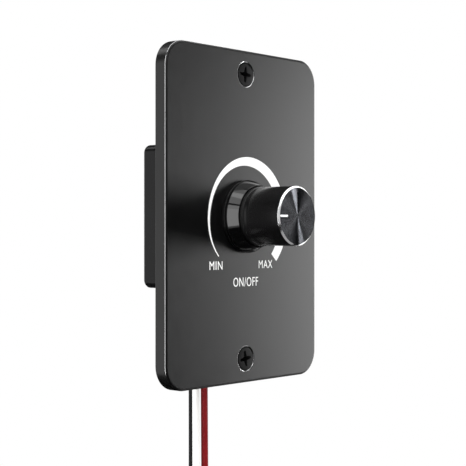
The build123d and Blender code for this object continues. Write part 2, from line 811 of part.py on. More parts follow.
# Grommet: neck in the wall, a lip on each side, one hole for each wire
with BuildPart() as grommet:
    with BuildSketch(Plane.XY.offset(wall_bottom)):
        with Locations(grommet_centre):
            SlotOverall(grommet_length - seat_clearance, grommet_width - seat_clearance)
    extrude(amount=housing_wall)
    with BuildSketch(Plane.XY.offset(wall_bottom), Plane.XY.offset(wall_inside + grommet_lip_thickness)):
        with Locations(grommet_centre):
            SlotOverall(grommet_length + 2 * grommet_lip, grommet_width + 2 * grommet_lip)
    extrude(amount=-grommet_lip_thickness)
    with BuildSketch(Plane.XY.offset(wall_bottom - grommet_lip_thickness)):
        with Locations(*[(x, y) for x, y, z in wire_starts]):
            Circle(wire_radius + seat_clearance)
    extrude(amount=housing_wall + 2 * grommet_lip_thickness, mode=Mode.SUBTRACT)
grommet.part.label = "grommet"

# Wires: each bend as large as its two runs allow
share_of_run = 0.45


def bend_radii(points):
    """The largest radius at each corner that its two runs leave room for."""
    radii = []
    for before, corner, after in zip(points, points[1:], points[2:]):
        run_in = Vector(*corner) - Vector(*before)
        run_out = Vector(*after) - Vector(*corner)
        half_turn = radians(run_in.get_angle(run_out) / 2)
        radii.append(share_of_run * min(run_in.length, run_out.length) / tan(half_turn))
    return radii


def lead_wire(colour, points):
    """The insulated wire, a plain tube along its route, and its bare end."""
    radii = bend_radii(points)
    with BuildPart() as tube:
        with BuildLine() as route:
            FilletPolyline(*points, radius=radii)
        with BuildSketch(route.line ^ 0):
            Circle(wire_radius)
        sweep()
    tube.part.label = f"wire_{colour}"
    with BuildPart() as bare_end:
        with BuildSketch(Plane(route.line ^ 1)):
            Circle(wire_core_radius)
        extrude(amount=wire_strip_length)
    bare_end.part.label = f"end_{colour}"
    print(tube.part.label, "length", round(route.wire().length, 2), "radii", [round(r) for r in radii])
    return [tube, bare_end]


finished = [
    face_plate,
    plate_screws,
    dial_arc,
    trim_collar,
    knob,
    pointer_line,
    knob_insert,
    control_shaft,
    bushing,
    bushing_washer,
    bushing_nut,
    pot_cover,
    track_wafer,
    pot_terminals,
    pot_rotor,
    wiper,
    switch_body,
    switch_contacts,
    switch_plunger,
    switch_spring,
    circuit_board,
    board_screws,
    power_transistor,
    capacitor,
    diode,
    control_chip,
    chip_resistors,
    wire_posts,
    back_housing,
    housing_screws,
    grommet,
]
for colour, wire_points in wire_routes.items():
    finished += lead_wire(colour, wire_points)

os.makedirs("parts", exist_ok=True)
for piece in finished:
    export_step(piece.part, f"parts/{piece.part.label}.step")
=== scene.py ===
from math import asin, atan2, cos, degrees, pi, radians, tan

import bmesh
import bpy
from mathutils import Matrix, Vector


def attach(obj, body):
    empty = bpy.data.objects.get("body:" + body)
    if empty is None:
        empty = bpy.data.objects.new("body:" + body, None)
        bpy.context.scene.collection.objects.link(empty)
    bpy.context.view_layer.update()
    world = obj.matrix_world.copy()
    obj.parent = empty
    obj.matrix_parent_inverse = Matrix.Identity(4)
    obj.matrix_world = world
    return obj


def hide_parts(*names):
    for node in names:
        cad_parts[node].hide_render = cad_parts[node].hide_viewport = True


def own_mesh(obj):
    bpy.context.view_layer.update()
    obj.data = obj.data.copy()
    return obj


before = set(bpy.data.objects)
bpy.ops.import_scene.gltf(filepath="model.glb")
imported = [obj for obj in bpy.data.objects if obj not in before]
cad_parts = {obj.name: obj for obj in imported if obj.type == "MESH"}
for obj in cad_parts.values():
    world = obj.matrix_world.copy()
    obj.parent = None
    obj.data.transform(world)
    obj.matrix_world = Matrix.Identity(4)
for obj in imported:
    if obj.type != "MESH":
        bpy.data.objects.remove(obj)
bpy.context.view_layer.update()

# Low voltage dimmer switch: finer pieces, finishes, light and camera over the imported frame.
# Pieces are modelled in millimetres and scaled to metres when they are finished.
# +X is to the right as seen from the room, +Y goes into the wall, +Z is up.

MM = 0.001
MICRON = 0.000001
scene = bpy.context.scene

# Face plate, its back on the wall
plate_width = 67.2
plate_height = 97.2
plate_front = 4.1
plate_corner_radius = 7.25
plate_edge_chamfer = 0.34
plate_inner_round = 0.4
plate_outer_round = 0.03
plate_back_round = 0.25
bushing_hole_radius = 3.6
cut_overrun = 1.0

# Faces of the plate that show bare cut metal, by how far they face the room
edge_band = 3.0
chamfer_facing = (0.68, 0.73)
chamfer_slack = 0.1
lip_facing = (0.7, 0.9995)
lip_slack = 1.2
lip_depth = 0.2

# Box screws
box_screw_height = 41.65
upper_screw_turn = radians(4.0)
lower_screw_turn = radians(-9.0)
countersink_radius = 3.72
countersink_lip = 0.11
countersink_margin = 0.6
countersink_lift = 0.03
half_countersink = radians(41.0)
screw_hole_radius = 1.95
head_radius = 3.29
head_sink = 0.13
head_top = plate_front - head_sink
head_rim = 0.12
head_rear_round = 0.06
head_front_round = 0.09
recess_reach = 2.55
recess_middle = 0.82
recess_tip = 0.34
recess_depth = 2.1
recess_overrun = 0.2
recess_floor_shrink = (0.35, 1, 0.5)
neck_radius = 1.5
thread_radius = 1.75
thread_depth = 0.42
thread_pitch = 0.79
thread_steps = 24
thread_root = thread_radius - thread_depth
screw_length = 25.4
screw_end = plate_front - screw_length
screw_tip_length = 0.4
screw_tip_step = 0.3

# Knob, heights in front of the wall
knob_front = plate_front + 19.3
knob_rear = plate_front + 3.2
knob_radius = 8.5
knob_foot_radius = 8.7
knob_foot_front = plate_front + 6.45
knob_taper_front = plate_front + 7.5
knob_edge_depth = 0.45
knob_edge_back = knob_front - knob_edge_depth
knob_edge_round = 0.07
knob_step_round = 0.25
knob_rear_round = 0.3
knob_face_radius = 8.03
knob_face_slack = 0.005
knob_edge_slack = 0.03
knob_face_depth = 0.4
knob_cavity_radius = 7.0
knob_cavity_front = knob_front - 2.6
pointer_length = 3.5
pointer_width = 0.65
pointer_groove_depth = 0.3
pointer_middle = -6.1
pointer_end_gap = 0.002
spun_rim = knob_face_radius - 0.04
spun_pitch = 0.3
spun_slope = 0.46
points_per_groove = 8

# Collar, heights in front of the wall
collar_bore_radius = 8.85
collar_rim_radius = 9.06
collar_cone_radius = 10.52
collar_flange_radius = 10.68
collar_flange_edge = plate_front + 0.94
collar_flange_front = plate_front + 1.0
collar_floor = plate_front + 1.2
collar_cone_start = plate_front + 1.8
collar_front = plate_front + 5.02
collar_flange_round = 0.06
collar_cone_round = 0.14
collar_rim_round = 0.1
collar_bore_round = 0.08

# Push switch's spring, distances behind the wall
spring_radius = 2.2
spring_wire = 0.34
spring_front = 7.737
spring_rear = 10.25
spring_turns = 3
spring_steps = 32

# Wires, on the routes of the solids
wire_radius = 1.05
wire_routes = {
    "red": [(-6.25, 7.0, -15.5), (-5.75, 7.0, -71.5), (-3.4, 8.6, -128.4), (0.6, 10.6, -172.0)],
    "white": [(-9.85, 7.0, -12.5), (-9.35, 7.0, -69.5), (-10.5, 6.2, -127.0), (-12.4, 4.9, -172.0)],
    "black": [(-8.8, 9.4, -15.5), (-8.3, 9.4, -71.5), (-6.7, 11.8, -128.3), (-4.1, 15.3, -171.8)],
}
wire_steps = 24
strip_length = 10.0
strand_inset = 2.0
strand_radius = 0.2
strand_turns = 0.9
strand_sides = 8
strand_steps = 36
outer_strands = 6

# Words on the plate: text, middle across and up, width and height of the capitals
words = {
    "word_min": ("MIN", (-13.1, -14.1), 5.5, 2.4),
    "word_max": ("MAX", (9.05, -14.1), 6.35, 2.35),
    "word_on_off": ("ON/OFF", (0.0, -19.1), 11.1, 2.65),
}
print_thickness = 0.05

# Modelling
merge_gap = 0.0005
letter_merge_gap = 0.0002
round_segments = 5
usual_steps = 128

# Shading: the middle part of a noise that the finishes use, and the scales of the marks
noise_low = 0.3
noise_high = 0.7
mottle_scale = 0.05
streak_stretch = 60.0
streak_scale = 9.0
coat_roughness = 0.05

# Studio, in metres and degrees
flag_distance = 0.72
flag_windows = [
    # turn to the right from straight ahead, from and to, and rise, from and to
    (57.0, 75.0, -18.0, 18.0),
    (75.0, 112.0, -30.0, 30.0),
    (-142.0, -78.0, -34.0, 22.0),
    (150.0, 181.0, -30.0, 20.0),
    (-181.0, -142.0, -30.0, 20.0),
]
floor_reach = 12.0
floor_level = -0.3
floor_fade = (0.45, 1.1)
fill_strength = 0.8


# Shader groups

def new_group(name, inputs, outputs):
    """An empty shader group with float inputs and outputs, and its two end nodes."""
    group = bpy.data.node_groups.new(name, "ShaderNodeTree")
    for label, value in inputs.items():
        socket = group.interface.new_socket(label, in_out="INPUT", socket_type="NodeSocketFloat")
        socket.default_value = value
    for label in outputs:
        group.interface.new_socket(label, in_out="OUTPUT", socket_type="NodeSocketFloat")
    start = group.nodes.new("NodeGroupInput")
    end = group.nodes.new("NodeGroupOutput")
    return group, start, end


def math_node(tree, operation, first, second=None):
    """A math node, with each input a socket or a number."""
    node = tree.nodes.new("ShaderNodeMath")
    node.operation = operation
    for socket, value in zip(node.inputs, (first, second)):
        if value is None:
            continue
        if isinstance(value, (int, float)):
            socket.default_value = value
        else:
            tree.links.new(value, socket)
    return node.outputs[0]


def directly_seen(tree):
    """One for camera, glossy and transmission rays, nought for the rest."""
    path = tree.nodes.new("ShaderNodeLightPath")
    direct = math_node(tree, "MAXIMUM", path.outputs["Is Camera Ray"], path.outputs["Is Glossy Ray"])
    return math_node(tree, "MAXIMUM", direct, path.outputs["Is Transmission Ray"])


def make_fine_grain():
    """Moulded or blasted grain: a fine height and a broad mottle."""
    group, start, end = new_group("fine_grain", {"Scale": 3000.0}, ["Height", "Mottle"])
    place = group.nodes.new("ShaderNodeTexCoord")
    fine = group.nodes.new("ShaderNodeTexNoise")
    fine.inputs["Detail"].default_value = 3.0
    broad = group.nodes.new("ShaderNodeTexNoise")
    broad.inputs["Detail"].default_value = 2.0
    broad_scale = math_node(group, "MULTIPLY", start.outputs["Scale"], mottle_scale)
    group.links.new(place.outputs["Object"], fine.inputs["Vector"])
    group.links.new(place.outputs["Object"], broad.inputs["Vector"])
    group.links.new(start.outputs["Scale"], fine.inputs["Scale"])
    group.links.new(broad_scale, broad.inputs["Scale"])
    group.links.new(fine.outputs[0], end.inputs["Height"])
    group.links.new(broad.outputs[0], end.inputs["Mottle"])
    return group


def make_turning_marks():
    """Lathe marks about the knob's axis: rings on a face, bands along a side, streaks by angle."""
    group, start, end = new_group("turning_marks", {"Pitch": 0.0001}, ["Rings", "Bands", "Streaks"])
    place = group.nodes.new("ShaderNodeTexCoord")
    split = group.nodes.new("ShaderNodeSeparateXYZ")
    group.links.new(place.outputs["Object"], split.inputs[0])
    across = math_node(group, "MULTIPLY", split.outputs["X"], split.outputs["X"])
    upright = math_node(group, "MULTIPLY", split.outputs["Z"], split.outputs["Z"])
    radius = math_node(group, "SQRT", math_node(group, "ADD", across, upright))
    for label, distance in (("Rings", radius), ("Bands", split.outputs["Y"])):
        line = group.nodes.new("ShaderNodeTexNoise")
        line.noise_dimensions = "1D"
        line.inputs["Scale"].default_value = 1.0
        line.inputs["Detail"].default_value = 2.0
        count = math_node(group, "DIVIDE", distance, start.outputs["Pitch"])
        group.links.new(count, line.inputs["W"])
        group.links.new(line.outputs[0], end.inputs[label])
    angle = math_node(group, "ARCTAN2", split.outputs["Z"], split.outputs["X"])
    ray = group.nodes.new("ShaderNodeCombineXYZ")
    group.links.new(math_node(group, "COSINE", angle), ray.inputs["X"])
    group.links.new(math_node(group, "SINE", angle), ray.inputs["Y"])
    group.links.new(math_node(group, "MULTIPLY", radius, streak_stretch), ray.inputs["Z"])
    streak = group.nodes.new("ShaderNodeTexNoise")
    streak.inputs["Scale"].default_value = streak_scale
    streak.inputs["Detail"].default_value = 3.0
    group.links.new(ray.outputs[0], streak.inputs["Vector"])
    group.links.new(streak.outputs[0], end.inputs["Streaks"])
    return group


FINE_GRAIN = make_fine_grain()
TURNING_MARKS = make_turning_marks()


# Finishes, kept by name

finishes = {}


class Finish:
    """A material with its shader, and the wiring that the finishes below share."""

    def __init__(self, name, colour, roughness, metallic=0.0, specular=0.5, coat=0.0):
        self.material = bpy.data.materials.new(name)
        self.material.use_nodes = True
        self.tree = self.material.node_tree
        self.shader = self.tree.nodes["Principled BSDF"]
        self.shader.inputs["Base Color"].default_value = (*colour, 1.0)
        self.shader.inputs["Roughness"].default_value = roughness
        self.shader.inputs["Metallic"].default_value = metallic
        self.shader.inputs["Specular IOR Level"].default_value = specular
        self.shader.inputs["Coat Weight"].default_value = coat
        self.shader.inputs["Coat Roughness"].default_value = coat_roughness

    def group(self, tree, **values):
        """A shared shader group in this material, with its own input values."""
        node = self.tree.nodes.new("ShaderNodeGroup")
        node.node_tree = tree
        for label, value in values.items():
            node.inputs[label].default_value = value
        return node

    def vary_roughness(self, mask, roughness, spread):
        """Lets the roughness follow a noise, by the spread to either side."""
        span = self.tree.nodes.new("ShaderNodeMapRange")
        span.inputs["From Min"].default_value = noise_low
        span.inputs["From Max"].default_value = noise_high
        span.inputs["To Min"].default_value = roughness - spread
        span.inputs["To Max"].default_value = roughness + spread
        self.tree.links.new(mask, span.inputs["Value"])
        self.tree.links.new(span.outputs[0], self.shader.inputs["Roughness"])

    def vary_colour(self, mask, colour, tone):
        """Lets the colour follow a noise, darker and lighter by the tone."""
        ramp = self.tree.nodes.new("ShaderNodeValToRGB")
        dark, light = ramp.color_ramp.elements
        dark.position = noise_low
        dark.color = (*(part * (1 - tone) for part in colour), 1.0)
        light.position = noise_high
        light.color = (*(part * (1 + tone) for part in colour), 1.0)
        self.tree.links.new(mask, ramp.inputs["Fac"])
        self.tree.links.new(ramp.outputs["Color"], self.shader.inputs["Base Color"])

    def raise_by(self, height, depth):
        """Lets a height raise the surface by a depth in metres."""
        bump = self.tree.nodes.new("ShaderNodeBump")
        bump.inputs["Strength"].default_value = 1.0
        bump.inputs["Distance"].default_value = depth
        self.tree.links.new(height, bump.inputs["Height"])
        self.tree.links.new(bump.outputs["Normal"], self.shader.inputs["Normal"])


def grained(name, colour, roughness, grains, depth, spread=0.05, tone=0.12, **gloss):
    """An even fine grain, so many to the metre and so many micrometres deep, with a slight mottle."""
    finish = Finish(name, colour, roughness, **gloss)
    grain = finish.group(FINE_GRAIN, Scale=grains)
    finish.vary_colour(grain.outputs["Mottle"], colour, tone)
    finish.vary_roughness(grain.outputs["Mottle"], roughness, spread)
    finish.raise_by(grain.outputs["Height"], depth * MICRON)
    finishes[name] = finish.material


def turned(name, colour, roughness, pitch, depth, spread=0.06, tone=0.1, **gloss):
    """Metal with lathe marks round its side, their pitch and depth in micrometres."""
    finish = Finish(name, colour, roughness, **gloss)
    bands = finish.group(TURNING_MARKS, Pitch=pitch * MICRON).outputs["Bands"]
    finish.vary_colour(bands, colour, tone)
    finish.vary_roughness(bands, roughness, spread)
    finish.raise_by(bands, depth * MICRON)
    finishes[name] = finish.material


def spun_face(name, colour, roughness, pitch, spread, tone):
    """Dark bare metal with faint streaks round the knob's spun grooves, their pitch in micrometres."""
    finish = Finish(name, colour, roughness, metallic=1.0)
    lathe = finish.group(TURNING_MARKS, Pitch=pitch * MICRON)
    finish.vary_colour(lathe.outputs["Streaks"], colour, tone)
    finish.vary_roughness(lathe.outputs["Rings"], roughness, spread)
    finishes[name] = finish.material


# What the photograph shows
grained("plate_black", (0.002, 0.002, 0.0021), 0.32, 5200.0, 0.4, spread=0.015)
grained("screw_black", (0.004, 0.004, 0.0042), 0.36, 2600.0, 2.0, specular=0.09)
grained("print_white", (0.88, 0.88, 0.875), 0.5, 4200.0, 3.0, tone=0.03)
grained("collar_black", (0.0015, 0.0015, 0.0016), 0.07, 700.0, 2.0, spread=0.02, specular=0.44)
turned("knob_black", (0.003, 0.003, 0.0031), 0.22, 160.0, 0.2, spread=0.015, tone=0.05)
spun_face("knob_face", (0.043, 0.0445, 0.0495), 0.11, 120.0, spread=0.02, tone=0.2)
grained("cut_edge", (0.86, 0.86, 0.87), 0.13, 4000.0, 0.5, spread=0.04, tone=0.04, metallic=1.0)
turned("bare_edge", (0.86, 0.86, 0.87), 0.2, 70.0, 1.5, metallic=1.0)
grained("housing_black", (0.004, 0.004, 0.0042), 0.27, 2200.0, 12.0, specular=0.22)
grained("wire_red", (0.19, 0.006, 0.008), 0.36, 1500.0, 4.0, tone=0.08, specular=0.16)
grained("wire_white", (0.8, 0.79, 0.77), 0.36, 1500.0, 4.0, tone=0.03)
grained("wire_black", (0.006, 0.006, 0.0065), 0.45, 1500.0, 4.0, specular=0.12)

# What is behind the plate and inside
grained("insert_plastic", (0.02, 0.02, 0.022), 0.45, 1800.0, 10.0)
turned("shaft_metal", (0.62, 0.6, 0.55), 0.28, 200.0, 2.0, metallic=1.0)
grained("bush_metal", (0.5, 0.5, 0.51), 0.42, 1500.0, 10.0, metallic=1.0)
grained("steel", (0.55, 0.55, 0.56), 0.33, 2200.0, 4.0, metallic=1.0)
grained("wafer_brown", (0.2, 0.09, 0.035), 0.5, 900.0, 8.0, tone=0.25)
grained("rotor_plastic", (0.55, 0.55, 0.5), 0.45, 1500.0, 6.0)
grained("contact_brass", (0.72, 0.5, 0.2), 0.28, 2600.0, 3.0, metallic=1.0)
grained("switch_plastic", (0.03, 0.03, 0.035), 0.5, 1500.0, 10.0)
grained("board_green", (0.012, 0.09, 0.035), 0.35, 1400.0, 8.0, tone=0.3, coat=0.3)
grained("chip_black", (0.015, 0.015, 0.016), 0.6, 3200.0, 8.0)
grained("can_silver", (0.7, 0.7, 0.71), 0.3, 2000.0, 3.0, metallic=1.0)
grained("tinned", (0.68, 0.67, 0.64), 0.3, 1800.0, 10.0, tone=0.2, metallic=1.0)
grained("grommet_black", (0.012, 0.012, 0.012), 0.6, 1600.0, 10.0)

# Every carried-over solid gets the finish of its own slot
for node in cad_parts.values():
    for place in node.material_slots:
        label = place.material.name.split(".")[0]
        place.material = finishes[label]


# Making pieces

def mesh_object(bm, name):
    """The modelled mesh as a new object."""
    mesh = bpy.data.meshes.new(name)
    bm.to_mesh(mesh)
    bm.free()
    thing = bpy.data.objects.new(name, mesh)
    scene.collection.objects.link(thing)
    return thing


def baked_mesh(thing):
    """A new mesh of an object as its modifiers leave it."""
    bpy.context.view_layer.update()
    return bpy.data.meshes.new_from_object(thing.evaluated_get(bpy.context.evaluated_depsgraph_get()))


def finish_piece(bm, name, body, materials, replaced=(), smooth=32.0):
    """The modelled mesh as a piece of the object, in metres, shaded and carried by its body."""
    bmesh.ops.scale(bm, vec=(MM, MM, MM), verts=bm.verts)
    piece = mesh_object(bm, name)
    piece.data.shade_smooth()
    piece.data.set_sharp_from_angle(angle=radians(smooth))
    for label in materials:
        piece.data.materials.append(finishes[label])
    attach(piece, body)
    if replaced:
        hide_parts(*replaced)
    return piece


def even_shading(piece):
    """Keeps flat faces flat beside their rounded edges."""
    weigh = piece.modifiers.new("even_shading", "WEIGHTED_NORMAL")
    weigh.keep_sharp = True
    weigh.weight = 100
    mesh = baked_mesh(piece)
    piece.modifiers.clear()
    rough = piece.data
    piece.data = mesh
    mesh.name = piece.name
    bpy.data.meshes.remove(rough)


def round_off(bm, geom, reach, segments=round_segments, affect="EDGES"):
    """Rounds edges or corners. One segment makes a flat chamfer."""
    bmesh.ops.bevel(
        bm, geom=geom, offset=reach, segments=segments, profile=0.5, affect=affect, material=-1
    )


def spun(profile, closed=False, steps=usual_steps):
    """A turned blank about the knob's axis, from radii, heights in front of the wall and any rounds."""
    bm = bmesh.new()
    points = [bm.verts.new((point[0], -point[1], 0)) for point in profile]
    pairs = list(zip(points, points[1:]))
    if closed:
        pairs.append((points[-1], points[0]))
    for pair in pairs:
        bm.edges.new(pair)
    for corner, point in zip(points, profile):
        for reach in point[2:]:
            round_off(bm, [corner], reach, affect="VERTICES")
    bmesh.ops.spin(
        bm, geom=bm.verts[:] + bm.edges[:], cent=(0, 0, 0), axis=(0, 1, 0),
        angle=2 * pi, steps=steps, use_merge=True,
    )
    bmesh.ops.remove_doubles(bm, verts=bm.verts, dist=merge_gap)
    bmesh.ops.recalc_face_normals(bm, faces=bm.faces)
    return bm


def sweep(bm, geom, axis, rise, turns, steps):
    """Sweeps a section along a helix about an axis, so many turns while it rises."""
    bmesh.ops.spin(
        bm, geom=geom, cent=(0, 0, 0), axis=axis, dvec=[part * rise / steps for part in axis],
        angle=2 * pi * turns, steps=steps,
    )


def close_ends(bm):
    """Fills the open ends of swept wires."""
    bmesh.ops.holes_fill(bm, edges=[edge for edge in bm.edges if edge.is_boundary], sides=12)
    bmesh.ops.recalc_face_normals(bm, faces=bm.faces)


def cut(body, tools):
    """The body with each tool cut from it, as one mesh."""
    work = mesh_object(body, "blank")
    spare = [mesh_object(tool, "blank") for tool in tools]
    for tool in spare:
        step = work.modifiers.new("cut", "BOOLEAN")
        step.operation = "DIFFERENCE"
        step.solver = "EXACT"
        step.object = tool
    mesh = baked_mesh(work)
    done = bmesh.new()
    done.from_mesh(mesh)
    for used in [work, *spare]:
        shape = used.data
        bpy.data.objects.remove(used)
        bpy.data.meshes.remove(shape)
    bpy.data.meshes.remove(mesh)
    bmesh.ops.remove_doubles(done, verts=done.verts, dist=merge_gap)
    return done


def block(size, place, corner, segments):
    """A box with its four edges along the Y axis rounded."""
    bm = bmesh.new()
    bmesh.ops.create_cube(bm, size=1.0)
    bmesh.ops.scale(bm, vec=size, verts=bm.verts)
    posts = [edge for edge in bm.edges if abs(edge.verts[0].co.y - edge.verts[1].co.y) > 0.5 * size[1]]
    round_off(bm, posts, corner, segments)
    bmesh.ops.translate(bm, vec=place, verts=bm.verts)
    return bm


def rim_edges(bm, height):
    """The edges round the flat side of a block at that place on the Y axis."""
    flat = [edge for edge in bm.edges if all(abs(vert.co.y - height) < 1e-4 for vert in edge.verts)]
    return [edge for edge in flat if len(edge.link_faces) == 2 and edge.calc_face_angle() > 0.2]


# Wires

def lead_wire(colour):
    """A wire's sheath, a spline through the points of its route."""
    route = wire_routes[colour]
    curve = bpy.data.curves.new(f"lead_{colour}", "CURVE")
    curve.dimensions = "3D"
    curve.bevel_depth = wire_radius * MM
    curve.bevel_resolution = 6
    curve.resolution_u = wire_steps
    curve.use_fill_caps = True
    spline = curve.splines.new("NURBS")
    spline.points.add(len(route) - 1)
    for point, (x, y, z) in zip(spline.points, route):
        point.co = (x * MM, y * MM, z * MM, 1.0)
    spline.order_u = 3
    spline.use_endpoint_u = True
    spline.resolution_u = wire_steps
    curve.materials.append(finishes[f"wire_{colour}"])
    lead = bpy.data.objects.new(f"lead_{colour}", curve)
    scene.collection.objects.link(lead)
    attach(lead, "base")
    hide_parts(f"wire_{colour}")
    return lead


def bare_strands(colour):
    """Seven tinned strands, six of them twisted round the middle one."""
    before, last = (Vector(point) for point in wire_routes[colour][-2:])
    reach = strip_length + strand_inset
    upright = (0, 0, 1)
    bm = bmesh.new()
    bmesh.ops.create_circle(bm, segments=strand_sides, radius=strand_radius)
    sweep(bm, bm.verts[:] + bm.edges[:], upright, reach, 0, 1)
    for number in range(outer_strands):
        ring = bmesh.ops.create_circle(bm, segments=strand_sides, radius=strand_radius)["verts"]
        turn = Matrix.Rotation(2 * pi * number / outer_strands, 3, "Z")
        bmesh.ops.translate(bm, vec=turn @ Vector((2 * strand_radius, 0, 0)), verts=ring)
        edges = list({edge for vert in ring for edge in vert.link_edges})
        sweep(bm, ring + edges, upright, reach, strand_turns, strand_steps)
    close_ends(bm)
    along = (last - before).normalized().to_track_quat("Z", "X").to_matrix()
    bmesh.ops.translate(bm, vec=(0, 0, -strand_inset), verts=bm.verts)
    bmesh.ops.rotate(bm, cent=(0, 0, 0), matrix=along, verts=bm.verts)
    bmesh.ops.translate(bm, vec=last, verts=bm.verts)
    return finish_piece(
        bm, f"strands_{colour}", "base", ["tinned"], [f"end_{colour}"], smooth=50.0
    )


for colour in wire_routes:
    lead = lead_wire(colour)
    strands = bare_strands(colour)


# Face plate

def countersink():
    """The tool that cuts a screw's hole, with a small round at its lip."""
    cone_depth = (countersink_radius - screw_hole_radius) / tan(half_countersink)
    return spun([
        (0, -cut_overrun),
        (screw_hole_radius, -cut_overrun),
        (screw_hole_radius, plate_front - cone_depth),
        (countersink_radius, plate_front, countersink_lip),
        (countersink_radius + countersink_margin, plate_front + countersink_lift),
        (countersink_radius + countersink_margin, plate_front + cut_overrun),
        (0, plate_front + cut_overrun),
    ])


def bushing_hole():
    """The tool that cuts the control's hole."""
    return spun(
        [
            (0, -cut_overrun),
            (bushing_hole_radius, -cut_overrun),
            (bushing_hole_radius, plate_front + cut_overrun),
            (0, plate_front + cut_overrun),
        ],
        steps=64,
    )


def shows_bare_metal(face):
    """Whether a face of the plate is on its front chamfer or on the lip of a screw hole."""
    middle = face.calc_center_median()
    depth = plate_front + middle.y
    facing = -face.normal.y
    near_side = abs(middle.x) > plate_width / 2 - edge_band
    near_end = abs(middle.z) > plate_height / 2 - edge_band
    on_slope = chamfer_facing[0] < facing < chamfer_facing[1]
    on_chamfer = (near_side or near_end) and on_slope and depth < plate_edge_chamfer + chamfer_slack
    reach = Vector((middle.x, abs(middle.z) - box_screw_height)).length
    on_circle = abs(reach - countersink_radius) < lip_slack * countersink_lip
    on_lip = on_circle and lip_facing[0] < facing < lip_facing[1] and depth < lip_depth
    return on_chamfer or on_lip


def make_face_plate():
    """The plate with its chamfered front edge, its countersunk holes and the control's hole."""
    size = (plate_width, plate_front, plate_height)
    bm = block(size, (0, -plate_front / 2, 0), plate_corner_radius, segments=24)
    round_off(bm, rim_edges(bm, -plate_front), plate_edge_chamfer, segments=1)
    round_off(bm, rim_edges(bm, plate_edge_chamfer - plate_front), plate_outer_round)
    round_off(bm, rim_edges(bm, -plate_front), plate_inner_round)
    round_off(bm, rim_edges(bm, 0.0), plate_back_round, segments=3)
    tools = []
    for height in (box_screw_height, -box_screw_height):
        mouth = countersink()
        bmesh.ops.translate(mouth, vec=(0, 0, height), verts=mouth.verts)
        tools.append(mouth)
    tools.append(bushing_hole())
    bm = cut(bm, tools)
    for face in bm.faces:
        if shows_bare_metal(face):
            face.material_index = 1
    plate = finish_piece(
        bm, "dressed_plate", "base", ["plate_black", "cut_edge"], ["face_plate"]
    )
    even_shading(plate)
    return plate


# Box screws

def thread(start, end):
    """A helical thread about the knob's axis, between two heights in front of the wall."""
    bm = bmesh.new()
    quarter = thread_pitch / 4
    points = [
        bm.verts.new((thread_root, -start, 0)),
        bm.verts.new((thread_root, -start + quarter, 0)),
        bm.verts.new((thread_radius, -start + 2 * quarter, 0)),
        bm.verts.new((thread_root, -start + 4 * quarter, 0)),
    ]
    for pair in zip(points, points[1:]):
        bm.edges.new(pair)
    turns = int((start - end) / thread_pitch) - 1
    sweep(bm, bm.verts[:] + bm.edges[:], (0, 1, 0), thread_pitch * turns, turns, thread_steps * turns)
    bmesh.ops.remove_doubles(bm, verts=bm.verts, dist=2 * merge_gap)
    return bm


def cross_recess(height):
    """The cross that a driver fits: four arms that narrow to their tips and slope down to the middle."""
    outline = [
        (-recess_reach, recess_tip),
        (0, recess_middle),
        (recess_reach, recess_tip),
        (recess_reach, -recess_tip),
        (0, -recess_middle),
        (-recess_reach, -recess_tip),
    ]
    wings = []
    for turn in (0, pi / 2):
        wing = bmesh.new()
        corners = [wing.verts.new((along, -height - recess_overrun, side)) for along, side in outline]
        sunk = bmesh.ops.extrude_face_region(wing, geom=[wing.faces.new(corners)])["geom"]
        floor = [item for item in sunk if isinstance(item, bmesh.types.BMVert)]
        bmesh.ops.translate(wing, vec=(0, recess_depth, 0), verts=floor)
        bmesh.ops.scale(wing, vec=recess_floor_shrink, verts=floor)
        bmesh.ops.recalc_face_normals(wing, faces=wing.faces)
        bmesh.ops.rotate(wing, cent=(0, 0, 0), matrix=Matrix.Rotation(turn, 3, "Y"), verts=wing.verts)
        wings.append(wing)
    return wings


def screw_head(turn):
    """A flat head with its neck, cone and cross recess, turned as the screw is tightened."""
    cone = (head_radius - neck_radius) / tan(half_countersink)
    head = spun([
        (0, 0.0),
        (neck_radius, 0.0),
        (neck_radius, head_top - head_rim - cone),
        (head_radius, head_top - head_rim, head_rear_round),
        (head_radius, head_top, head_front_round),
        (0, head_top),
    ])
    head = cut(head, cross_recess(head_top))
    bmesh.ops.rotate(head, cent=(0, 0, 0), matrix=Matrix.Rotation(turn, 3, "Y"), verts=head.verts)
    return head


def screw_core():
    """The shank inside the thread, with a bevelled tip."""
    return spun(
        [
            (0, 0.0),
            (thread_root, 0.0),
            (thread_root, screw_end + screw_tip_length),
            (thread_root - screw_tip_step, screw_end),
            (0, screw_end),
        ],
        steps=32,
    )


def make_box_screws():
    """Both screws as one piece."""
    whole = bmesh.new()
    for height, turn in ((box_screw_height, upper_screw_turn), (-box_screw_height, lower_screw_turn)):
        for bm in (screw_head(turn), thread(0.0, screw_end), screw_core()):
            bmesh.ops.translate(bm, vec=(0, 0, height), verts=bm.verts)
            mesh = bpy.data.meshes.new("screw_stage")
            bm.to_mesh(mesh)
            bm.free()
            whole.from_mesh(mesh)
            bpy.data.meshes.remove(mesh)
    screws = finish_piece(whole, "dressed_screws", "base", ["screw_black"], ["plate_screws"])
    even_shading(screws)


# Trim collar

def make_collar():
    """The flange and the cone that narrows to a thin rim round the knob's foot."""
    bm = spun(
        [
            (bushing_hole_radius, plate_front),
            (collar_flange_radius, plate_front),
            (collar_flange_radius, collar_flange_edge, collar_flange_round),
            (collar_cone_radius, collar_flange_front),
            (collar_cone_radius, collar_cone_start, collar_cone_round),
            (collar_rim_radius, collar_front, collar_rim_round),
            (collar_bore_radius, collar_front, collar_bore_round),
            (collar_bore_radius, collar_floor),
            (bushing_hole_radius, collar_floor),
        ],
        closed=True,
        steps=192,
    )
    collar = finish_piece(bm, "dressed_collar", "base", ["collar_black"], ["trim_collar"])
    even_shading(collar)
    return collar


# Knob

